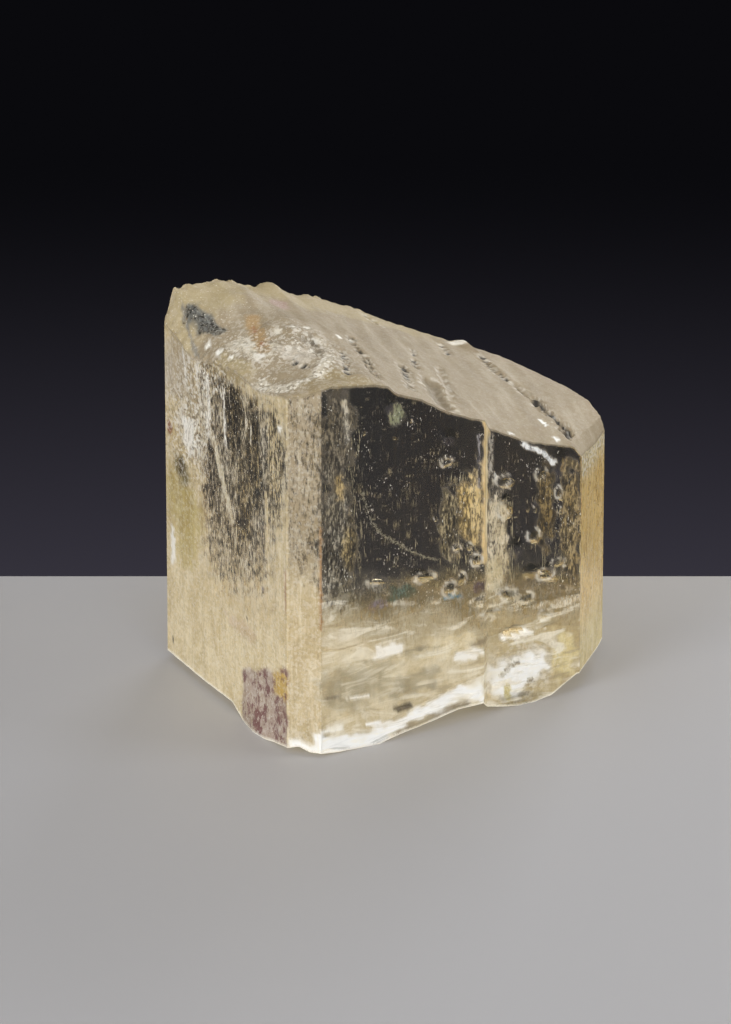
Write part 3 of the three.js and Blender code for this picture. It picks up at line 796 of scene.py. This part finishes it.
def paint_top(fields, top, x, y):
    """Stripes of painted light and shade along the slope, spots and strokes, and the pits: a painted
    highlight on their sides, painted shade in the grooves and on their floors.
    """
    # Painted light and shade: paler and darker stripes along the slope's ridges
    stripes = lumps(x - 0.3 * y, 0.12 * y, 0.3, 1.1) + 0.5 * lumps(x - 0.3 * y, 0.2 * y, 0.12, 0.3)
    paint(fields, top, 0.4 * fade(stripes, 0.1, 0.9), PALE_STRIPE, 1, 0.1)
    paint(fields, top, 0.4 * fade(-stripes, 0.1, 0.9), DARK_STRIPE, 1, 0.1)
    paint_all(fields, top, x, y, TOP_SPOTS, TOP_STROKES)
    depth, dark = pit_depth(x, y)
    # Painted highlight: pale on the grooves' sides, where light would catch them
    side = fade(depth, 0.02, 0.06) * (1 - fade(depth, 0.08, 0.16))
    paint(fields, top, 0.5 * side * fade(lumps(x, y, 0.12, 0.8), -0.5, 0.5), WHITE, 1)
    # Painted shade: darker in the deeper grooves, and near-black on the pit floors
    paint(fields, top, 0.55 * fade(depth, 0.08, 0.3), GROOVE_SHADE, 0.95, 0.2)
    paint(fields, top, fade(dark, 0.2, 0.5), PIT_FLOOR_SHADE, 0.95, 0.1)
    return dark


def chip_share(on, x, y, z):
    """How much of each place is chipped ground, with real relief in the bump and painted sparkle and shade
    in the colour.
    """
    near_rim = bump(line_distance(x, y, RIM)[0], 0.5)
    on_top = 0.04 + 0.4 * ruggedness(x, y) + 0.45 * near_rim + 0.1 * oval(x, y, *CHIPPED_FACET)
    chip = np.where(on["top"], on_top, 0)
    chip += np.where(on["left"], 0.6 * sum(oval(y, z, *ground) for ground in CHIPPED_LEFT), 0)
    chip += np.where(on["front"], 0.35 * oval(x, z, *CHIPPED_FRONT), 0)
    chip += np.where(on["golden"], 0.08 + 0.4 * fade(z, 10.6, 12.0), 0)
    return chip + np.where(on["left"] | on["bevel"], 0.12, 0)


def paint_ribbon_and_bubbles(fields, on, x, z):
    """White broken ribbon along the foot's front, and painted highlights: silvery rims where bubbles touch
    the face.
    """
    above = z - along(FOOT_EDGE["front"], x) + 0.1 * lumps(x, z, 0.3, 2.2)
    ribbon = (1 - fade(above, 0.35, 0.55)) * (1 - fade(x, 3.4, 4.2))
    paint(fields, on["front"] | on["bevel"], ribbon, SNOW, 1)
    # Painted highlight: a broken silvery ring over each bubble
    for along_x, height, half_x, half_z, _ in BUBBLES:
        ring = bump(np.hypot((x - along_x) / half_x, (z - height) / half_z) - 1, 0.26)
        broken = fade(lumps(x, z, 0.15, along_x), -0.7, 0.1)
        paint(fields, on["front"], ring * broken, BUBBLE_RIM_HIGHLIGHT, 0.75)


def paint_stains(fields, left, y, z):
    """The mauve stain at the foot of the left face, with its yellow corner."""
    stain = CORNER_STAIN
    near_side, far_side = stain["y"]
    top_edge = stain["top"] - stain["fall"] * (y - near_side) + 0.12 * lumps(y, z, 0.25, 1.0)
    ragged = 0.12 * lumps(z, y, 0.3, 0.5)
    share = fade(y + ragged, near_side - 0.1, near_side + 0.1)
    share = share * (1 - fade(z, top_edge - 0.15, top_edge + 0.1))
    share = share * (1 - fade(y + ragged, far_side - 0.2, far_side + 0.1))
    paint(fields, left, share, stain["colour"], 1)
    fields["stain"] = np.where(left, share, 0)
    stain = YELLOW_STAIN
    low_edge, high_edge = stain["z"]
    share = fade(z, low_edge, low_edge + 0.3) * (1 - fade(z, high_edge - 0.2, high_edge + 0.1))
    share = share * (1 - fade(y + ragged, stain["far_y"] - 0.2, stain["far_y"] + 0.1))
    paint(fields, left, share * fields["stain"], stain["colour"], 1)


def finish_fields(points, cap_count):
    """Every field of FIELDS, the stain and the colour at each point, from its place on the crystal."""
    x, y, z = points.T
    on = faces_of(points, cap_count)
    fields = {name: np.zeros(len(points)) for name in FIELDS}
    fields["tint"] = np.tile(np.array(CREAM), (len(points), 1))
    paint_bases(fields, on, x, y, z)
    paint_clouds(fields, on, x, y, z)
    paint_all(fields, on["left"], y, z, LEFT_SPOTS, LEFT_STROKES)
    paint_all(fields, on["front"] | on["bevel"], x, z, FRONT_SPOTS, FRONT_STROKES)
    dark = paint_top(fields, on["top"], x, y)
    fields["chip"] = chip_share(on, x, y, z) * (1 - fade(dark, 0.1, 0.4))
    paint_ribbon_and_bubbles(fields, on, x, z)
    paint_stains(fields, on["left"], y, z)
    return fields


def crystal_material():
    """Clear body with a milky share that fibres, painted gap shade and specks break up, as the vertex fields
    say.
    """
    material, tree, output = new_material("clear_sellaite")
    links = tree.links

    def times(first, second, clamp=False):
        return math_node(tree, "MULTIPLY", first, second, clamp)

    def plus(first, second, clamp=False):
        return math_node(tree, "ADD", first, second, clamp)

    flecks = noise(tree, (7.5, 7.5, 2.6), 4.0, 0.7, 0.35)
    threads = noise(tree, (22.0, 22.0, 1.4), 2.0, 0.6)
    mottle = noise(tree, (1.0, 1.0, 0.6), 5.0, 0.66, 0.6)
    grain = noise(tree, (13.0, 13.0, 13.0), 3.0, 0.65)
    specks = noise(tree, (16.0, 16.0, 7.0), 1.0, 0.5)
    clumps = noise(tree, (2.4, 2.4, 0.8), 3.0, 0.6, 0.3)
    wisps = noise(tree, (0.42, 0.42, 1.5), 4.0, 0.58, 0.9)
    streaks = noise(tree, (5.0, 5.0, 0.35), 4.0, 0.65, 0.2)
    chips = times(plus(noise(tree, (5.5, 5.5, 5.5), 4.0, 0.7), facets(tree, 7.0)), 0.5)
    milk, fibre, gap_shade, frost, specks_and_sparkle, wisp, streak, chip = (attribute(tree, name) for name in FIELDS)
    stain = attribute(tree, "stain")

    # Flecks fill more of the surface where there is more milk
    fleck_level = plus(plus(flecks, times(milk, 0.3)), times(threads, 0.14))
    fleck_level = plus(fleck_level, times(clumps, 0.4))
    fleck = ramp(tree, fleck_level, 0.78, 1.06)
    thinner = times(wisp, ramp(tree, wisps, 0.52, 0.36, 0.0, 0.4))
    even = times(milk, math_node(tree, "SUBTRACT", 1.0, thinner), clamp=True)
    body = mix_value(tree, fibre, even, fleck)
    between = math_node(tree, "SUBTRACT", 1.0, fleck)
    # Painted shade: near-black fills the gaps between the fibres, in place of the dark seen through the
    # clear crystal
    gap = times(ramp(tree, gap_shade, 0.2, 0.8), between, clamp=True)
    # Pale specks: grains in the faces, and painted sparkle on the top's left part
    speck = times(ramp(tree, specks, 0.69, 0.73), specks_and_sparkle)
    milky = math_node(tree, "MAXIMUM", body, times(gap, GAP_MILK), clamp=True)
    milky = math_node(tree, "MAXIMUM", milky, speck, clamp=True)

    tint = tree.nodes.new("ShaderNodeAttribute")
    tint.attribute_name = "tint"
    darker = tree.nodes.new("ShaderNodeMix")
    darker.data_type, darker.blend_type = "RGBA", "MULTIPLY"
    darker.inputs[7].default_value = (*UNEVEN_TINT, 1)
    links.new(tint.outputs["Color"], darker.inputs[6])
    calm = math_node(tree, "SUBTRACT", 1.0, wisp)
    lines = times(ramp(tree, threads, 0.45, 0.6, 0.0, 0.12), calm)
    uneven = plus(ramp(tree, mottle, 0.4, 0.62, 0.0, 0.7), lines)
    uneven = plus(uneven, times(ramp(tree, grain, 0.4, 0.62), 0.3), clamp=True)
    uneven = times(uneven, ramp(tree, frost, 0.0, 1.0, 0.8, 0.3))
    broken = ramp(tree, tint.outputs["Fac"], 0.74, 0.88, 1.0, 0.12)
    links.new(times(uneven, broken), darker.inputs[0])
    colour = darker.outputs[2]
    for amount, pattern, (near, far), light, dark, most in (
        (wisp, wisps, (0.51, 0.66), (0.95, 0.9, 0.76), (0.37, 0.33, 0.235), 0.7),
        (streak, streaks, (0.51, 0.66), (0.9, 0.82, 0.62), (0.33, 0.26, 0.14), 0.55),
        # Chipped ground: its pale and dark cells are painted sparkle and painted shade
        (chip, chips, (0.53, 0.62), (0.9, 0.87, 0.79), (0.24, 0.2, 0.14), 1.4),
    ):
        pale = times(amount, ramp(tree, pattern, near, far, 0.0, most), clamp=True)
        colour = mix_colour(tree, pale, colour, light)
        valley = ramp(tree, pattern, 0.98 - near, 0.96 - far, 0.0, most)
        deep = times(amount, valley, clamp=True)
        colour = mix_colour(tree, times(deep, broken), colour, dark)
    # Painted shade in the gaps between the fibres
    colour = mix_colour(tree, gap, colour, NEAR_BLACK)
    blotch = ramp(tree, noise(tree, (1.7, 1.7, 1.3), 5.0, 0.72), 0.47, 0.6)
    colour = mix_colour(tree, times(blotch, stain), colour, SPECK)
    colour = mix_colour(tree, speck, colour, SPECK_AND_SPARKLE)
    # Where the gaps are painted dark, the see-through colour is darkened too
    clear = mix_colour(tree, ramp(tree, gap_shade, 0.0, 0.3), CLEAR, BROWN_CLEAR)
    colour = mix_colour(tree, ramp(tree, milky, 0.0, 0.3), clear, colour)

    transmission = math_node(tree, "SUBTRACT", 1.0, times(milky, MILK_COVER), clamp=True)
    frosted = times(frost, ramp(tree, grain, 0.5, 0.66, 0.38, 0.1))
    roughness = plus(plus(0.02, frosted), times(milky, 0.22), clamp=True)

    bump_node = tree.nodes.new("ShaderNodeBump")
    bump_node.inputs["Strength"].default_value = BUMP_STRENGTH
    bump_node.inputs["Distance"].default_value = BUMP_HEIGHT * MM
    height = times(grain, times(frost, 1.5))
    lined = times(threads, ramp(tree, milky, 0.0, 0.6, 0.05, 0.5))
    height = plus(plus(height, times(lined, calm)), times(chips, times(chip, 2.5)))
    links.new(height, bump_node.inputs["Height"])

    shader = tree.nodes.new("ShaderNodeBsdfPrincipled")
    shader.inputs["IOR"].default_value = SELLAITE_IOR
    links.new(colour, shader.inputs["Base Color"])
    links.new(transmission, shader.inputs["Transmission Weight"])
    links.new(roughness, shader.inputs["Roughness"])
    links.new(bump_node.outputs["Normal"], shader.inputs["Normal"])

    # Lamps reach what is inside through the clear parts
    lamp_way = tree.nodes.new("ShaderNodeBsdfTransparent")
    lamp_colour = mix_colour(tree, milky, CLEAR_SHADOW, MILKY_SHADOW)
    links.new(lamp_colour, lamp_way.inputs["Color"])
    light_path = tree.nodes.new("ShaderNodeLightPath")
    mix = tree.nodes.new("ShaderNodeMixShader")
    links.new(light_path.outputs["Is Shadow Ray"], mix.inputs[0])
    links.new(shader.outputs[0], mix.inputs[1])
    links.new(lamp_way.outputs[0], mix.inputs[2])
    links.new(mix.outputs[0], output.inputs["Surface"])

    tint_inside = tree.nodes.new("ShaderNodeVolumeAbsorption")
    tint_inside.inputs["Color"].default_value = (*BODY_TINT, 1.0)
    tint_inside.inputs["Density"].default_value = BODY_DENSITY
    links.new(tint_inside.outputs[0], output.inputs["Volume"])
    return material


def inclusion_material(name, colour):
    """Small solid or white-filled inclusions, which lamps reach through the crystal."""
    material, tree, output = new_material(name)
    shader = tree.nodes.new("ShaderNodeBsdfPrincipled")
    pale = ramp(tree, noise(tree, (3.0, 3.0, 3.0), 2.0, 0.6), 0.35, 0.65)
    mottled = mix_colour(tree, pale, colour, tuple(0.7 * value for value in colour))
    tree.links.new(mottled, shader.inputs["Base Color"])
    shader.inputs["Roughness"].default_value = 0.5
    shader.inputs["IOR"].default_value = SELLAITE_IOR
    tree.links.new(shader.outputs[0], output.inputs["Surface"])
    return material


# Inside the crystal. Light bends at the front face, so a thing behind it is seen higher and further left:
# each place is given where it is seen on that face, with its depth behind it.
SEEN_LEFT, SEEN_UP = 0.355, 0.327

# Hollow bubbles: along, height, half width, half height, depth
BUBBLES = [
    (7.0, 14.3, 0.34, 0.24, 0.7), (10.5, 12.4, 0.45, 0.27, 0.8), (12.6, 12.3, 0.34, 0.33, 0.7),
    (10.5, 10.8, 0.32, 0.43, 0.8), (12.2, 9.1, 0.36, 0.35, 0.7), (13.5, 7.4, 0.27, 0.17, 0.6),
    (12.9, 6.8, 0.48, 0.28, 0.7), (14.0, 7.2, 0.11, 0.2, 0.4), (8.7, 8.7, 0.32, 0.35, 0.8),
    (7.2, 7.5, 0.39, 0.41, 0.9), (7.9, 7.9, 0.23, 0.33, 1.2), (10.8, 6.2, 0.41, 0.35, 0.8),
    (11.8, 5.8, 0.43, 0.3, 0.7), (12.9, 4.6, 0.34, 0.3, 0.7), (9.6, 5.6, 0.68, 0.22, 0.8),
    (3.0, 8.8, 0.48, 0.15, 1.0), (5.8, 8.4, 0.57, 0.26, 0.9), (8.3, 9.5, 0.16, 0.2, 0.6),
    (7.6, 9.6, 0.23, 0.15, 0.7), (11.7, 10.7, 0.11, 0.15, 0.5), (12.1, 10.6, 0.09, 0.15, 0.5),
    (13.6, 10.2, 0.11, 0.2, 0.5), (2.4, 16.8, 0.11, 0.11, 0.8), (5.0, 16.9, 0.09, 0.11, 0.8),
    (4.1, 16.2, 0.09, 0.09, 0.6), (6.4, 11.4, 0.11, 0.13, 0.7), (13.6, 11.1, 0.2, 0.33, 0.6),
]
BUBBLE_SIDES, BUBBLE_RINGS = 14, 8
HEALED_CRACK = [(2.3, 13.7), (2.7, 12.3), (3.2, 11.4), (4.0, 10.8), (4.7, 10.2), (5.6, 9.6), (6.5, 9.2)]
CRACK_DEPTH, CRACK_WIDTH, HOLLOWS_IN_RUN = 1.6, 0.06, 110

# Clouds of needles and grains: how many, low and high corner, greatest length and half width
NEEDLE_CLOUDS = [
    (900, (1.0, 0.8, 3.0), (14.0, 13.0, 12.0), 0.7, 0.022),
    (260, (1.0, 0.8, 12.0), (8.0, 12.0, 16.5), 0.4, 0.018),
    (420, (10.1, 0.9, 5.6), (11.3, 2.4, 11.0), 1.2, 0.022),
    (260, (7.6, 0.5, 8.2), (9.4, 1.6, 13.0), 1.0, 0.02),
    (420, (0.4, 0.5, 7.0), (2.8, 2.2, 17.5), 0.9, 0.018),
    (260, (12.8, 1.0, 5.0), (14.9, 2.4, 11.5), 0.9, 0.02),
]


def behind_front(along_x, height, depth):
    return np.array([along_x + SEEN_LEFT * depth, depth, height - SEEN_UP * depth])


def bubble_meshes():
    """Hollows with their faces turned inwards, as the walls of the voids in the crystal."""
    around, rings = BUBBLE_SIDES, BUBBLE_RINGS
    draw = np.random.default_rng(3)
    points, faces = [], []
    for along_x, height, half_x, half_z, depth in BUBBLES:
        start = len(points)
        middle = behind_front(along_x, height, depth + (GROWTH_STEP if along_x > STEP_END else 0))
        skew = draw.uniform(-0.5, 0.5, 3)
        for ring in range(1, rings):
            tilt = np.pi * ring / rings
            for step in range(around):
                turn = 2 * np.pi * step / around
                level = math.sin(tilt)
                way = np.array([level * math.cos(turn), level * math.sin(turn), math.cos(tilt)])
                swell = 1 + 0.16 * math.sin(3 * turn + 6 * skew[0]) * level
                swell = swell + 0.1 * math.sin(2 * tilt + 9 * skew[1])
                flat = np.array([half_x, 0.5 * min(half_x, half_z), half_z])
                offset = way * flat * swell
                offset[2] += skew[2] * offset[0] * 0.6
                points.append(middle + offset)
        tip, toe = len(points), len(points) + 1
        points += [middle + np.array([0, 0, half_z]), middle - np.array([0, 0, half_z])]
        for step in range(around):
            after = (step + 1) % around
            faces.append((start + after, start + step, tip))
            for ring in range(rings - 2):
                upper, lower = start + ring * around, start + (ring + 1) * around
                faces.append((upper + step, upper + after, lower + after, lower + step))
            last = start + (rings - 2) * around
            faces.append((last + step, last + after, toe))
    return np.array(points), faces


def slivers(name, items, sides, material):
    """Small double cones, one for each (middle, half axis, width), as one piece."""
    points, faces = [], []
    for middle, axis, width in items:
        start = len(points)
        side_way = np.cross(axis, (0.3, 0.9, 0.1))
        side_way = side_way / np.linalg.norm(side_way)
        other_way = np.cross(axis, side_way)
        other_way = other_way / np.linalg.norm(other_way)
        for step in range(sides):
            turn = 2 * np.pi * step / sides
            points.append(middle + width * (math.cos(turn) * side_way + math.sin(turn) * other_way))
        points += [middle + axis, middle - axis]
        for step in range(sides):
            after = (step + 1) % sides
            faces.append((start + step, start + after, start + sides))
            faces.append((start + after, start + step, start + sides + 1))
    obj = make_object(name, np.array(points), faces, material)
    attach(obj, "root")
    return obj


def inner_needles():
    """Fine upright needles and grains through the clear part, thicker together in two veils."""
    draw = np.random.default_rng(11)
    items = []
    for count, low_corner, high_corner, longest, widest in NEEDLE_CLOUDS:
        for _ in range(count):
            middle = draw.uniform(low_corner, high_corner)
            length = longest * draw.uniform(0.1, 1.0) ** 2
            lean = draw.normal(0, 0.06, 2)
            half_axis = np.array([lean[0], lean[1], 1.0]) * length / 2
            items.append((middle, half_axis, widest * draw.uniform(0.4, 1.0)))
    return slivers("inner_needles", items, 4, inclusion_material("pale_needles", (0.8, 0.74, 0.6)))


def healed_crack():
    """A curved line of tiny flat hollows, as an old crack leaves when it heals."""
    draw = np.random.default_rng(5)
    items = []
    for (x0, z0), (x1, z1) in zip(HEALED_CRACK, HEALED_CRACK[1:]):
        for _ in range(HOLLOWS_IN_RUN):
            share = draw.uniform()
            spread = draw.normal(0, CRACK_WIDTH, 2)
            depth = CRACK_DEPTH + draw.normal(0, 0.25)
            seen_x = x0 + share * (x1 - x0) + spread[0]
            seen_z = z0 + share * (z1 - z0) + 0.6 * spread[1]
            middle = behind_front(seen_x, seen_z, depth)
            items.append((middle, draw.normal(0, 0.015, 3), draw.uniform(0.008, 0.03)))
    return slivers("healed_crack", items, 6, inclusion_material("crack_film", (0.62, 0.6, 0.54)))


def crystal():
    points, faces = crystal_mesh()
    hollow_points, hollow_faces = bubble_meshes()
    start, hollow_count = len(points), len(hollow_points)
    all_faces = list(faces) + [tuple(start + corner for corner in face) for face in hollow_faces]
    obj = make_object("dressed_crystal", np.vstack([points, hollow_points]), all_faces, crystal_material())
    mesh = obj.data
    mesh.shade_smooth()
    mesh.set_sharp_from_angle(angle=SHARP_ANGLE)
    fields = finish_fields(points, len(stations_across()) * (ROWS_DEEP + 1))
    tint = np.zeros((start + hollow_count, 4), dtype=np.float32)
    tint[:start, :3] = fields.pop("tint")
    tint[:, 3] = 1
    mesh.attributes.new("tint", "FLOAT_COLOR", "POINT").data.foreach_set("color", tint.ravel())
    for name, values in fields.items():
        whole = np.append(values, np.zeros(hollow_count)).astype(np.float32)
        mesh.attributes.new(name, "FLOAT", "POINT").data.foreach_set("value", whole)
    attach(obj, "root")
    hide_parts(NODE)
    return obj


# The view of the photograph: long lens, 24 degrees above, 29 degrees round to the left
VIEW_TURN = math.radians(29)
VIEW_RISE = math.radians(24)
IMAGE_HEIGHT_PX = 1024
FOCAL_PX = 9000
SENSOR_MM = 36.0
MM_PER_PX = 0.0496
EDGE_PX = (322.0, 750.0)  # foot of the front-left edge in the photograph
EDGE_FOOT_Z = 0.25
IMAGE_CENTRE_PX = (365.5, 512.0)
MIDDLE_DEPTH = 6.0  # where the scale holds, behind that edge


def make_camera():
    level = math.cos(VIEW_RISE)
    forward = Vector((math.sin(VIEW_TURN) * level, math.cos(VIEW_TURN) * level, -math.sin(VIEW_RISE)))
    right = Vector((math.cos(VIEW_TURN), -math.sin(VIEW_TURN), 0))
    up = right.cross(forward)
    anchor = Vector(to_frame((0, 0, EDGE_FOOT_Z)))
    aim = anchor + right * ((IMAGE_CENTRE_PX[0] - EDGE_PX[0]) * MM_PER_PX * MM)
    aim = aim + up * ((EDGE_PX[1] - IMAGE_CENTRE_PX[1]) * MM_PER_PX * MM)
    data = bpy.data.cameras.new("view")
    data.sensor_width = SENSOR_MM
    data.lens = FOCAL_PX * data.sensor_width / IMAGE_HEIGHT_PX
    data.clip_start, data.clip_end = 0.01, 10.0
    camera = bpy.data.objects.new("view", data)
    distance = FOCAL_PX * MM_PER_PX * MM - MIDDLE_DEPTH * MM
    turned = Matrix((right, up, -forward)).transposed().to_4x4()
    camera.matrix_world = Matrix.Translation(aim - forward * distance) @ turned
    bpy.context.scene.collection.objects.link(camera)
    bpy.context.scene.camera = camera


FLOOR = (130.0, -120.0, 21.5, 3.0)  # half width, near end, far end and thickness


def make_floor():
    """A pale plate that ends just behind the crystal, square to the view."""
    material, tree, output = new_material("pale_floor")
    shader = tree.nodes.new("ShaderNodeBsdfPrincipled")
    shader.inputs["Base Color"].default_value = (0.34, 0.335, 0.345, 1)
    shader.inputs["Roughness"].default_value = 0.6
    tree.links.new(shader.outputs[0], output.inputs["Surface"])
    across = np.array([math.cos(VIEW_TURN), -math.sin(VIEW_TURN), 0])
    away = np.array([math.sin(VIEW_TURN), math.cos(VIEW_TURN), 0])
    half_width, near, far, thick = FLOOR
    corners = [
        across * side * half_width + away * reach + np.array([0, 0, height])
        for height in (0, -thick) for side, reach in ((-1, near), (1, near), (1, far), (-1, far))
    ]
    faces = [(0, 1, 2, 3), (7, 6, 5, 4), (0, 4, 5, 1), (1, 5, 6, 2), (2, 6, 7, 3), (3, 7, 4, 0)]
    floor = make_object("floor", corners, faces, material)


def make_world():
    world = bpy.data.worlds.new("studio")
    bpy.context.scene.world = world
    world.use_nodes = True
    tree = world.node_tree
    tree.nodes.clear()
    where = tree.nodes.new("ShaderNodeTexCoord")
    split = tree.nodes.new("ShaderNodeSeparateXYZ")
    tree.links.new(where.outputs["Generated"], split.inputs[0])
    shade = ramp(tree, split.outputs["Z"], -0.37, -0.455)
    colour = mix_colour(tree, shade, (0.003, 0.003, 0.004), (0.065, 0.06, 0.082))
    background = tree.nodes.new("ShaderNodeBackground")
    tree.links.new(colour, background.inputs["Color"])
    output = tree.nodes.new("ShaderNodeOutputWorld")
    tree.links.new(background.outputs[0], output.inputs["Surface"])


WHITE_LIGHT = (1, 1, 1)
WARM_LIGHT = (1.0, 0.97, 0.92)
LIT_POINT = (0, 0, 9)


def area_light(name, place_mm, aim_mm, size_mm, power, colour):
    data = bpy.data.lights.new(name, "AREA")
    data.shape = "RECTANGLE"
    data.size, data.size_y = size_mm[0] * MM, size_mm[1] * MM
    data.energy = power
    data.color = colour
    lamp = bpy.data.objects.new(name, data)
    start, aim = Vector(place_mm) * MM, Vector(aim_mm) * MM
    lamp.location = start
    lamp.rotation_mode = "QUATERNION"
    lamp.rotation_quaternion = (aim - start).to_track_quat("-Z", "Y")
    bpy.context.scene.collection.objects.link(lamp)


def make_lights():
    """Soft lamps on all sides, each with its place, size and power in watts."""
    for name, place_mm, size_mm, power, colour in (
        ("overhead", (-20, 20, 190), (150, 150), 0.13, WHITE_LIGHT),
        ("left", (-170, -60, 90), (90, 120), 0.27, WHITE_LIGHT),
        ("right", (170, -130, 90), (90, 120), 0.22, WHITE_LIGHT),
        ("right_back", (150, 110, 80), (90, 120), 0.2, WARM_LIGHT),
        ("front", (-60, -220, 130), (140, 140), 0.26, WHITE_LIGHT),
    ):
        area_light(name, place_mm, LIT_POINT, size_mm, power, colour)


make_camera()
make_floor()
make_world()
make_lights()
crystal()
inner_needles()
healed_crack()
bpy.context.scene.view_settings.view_transform = "Standard"
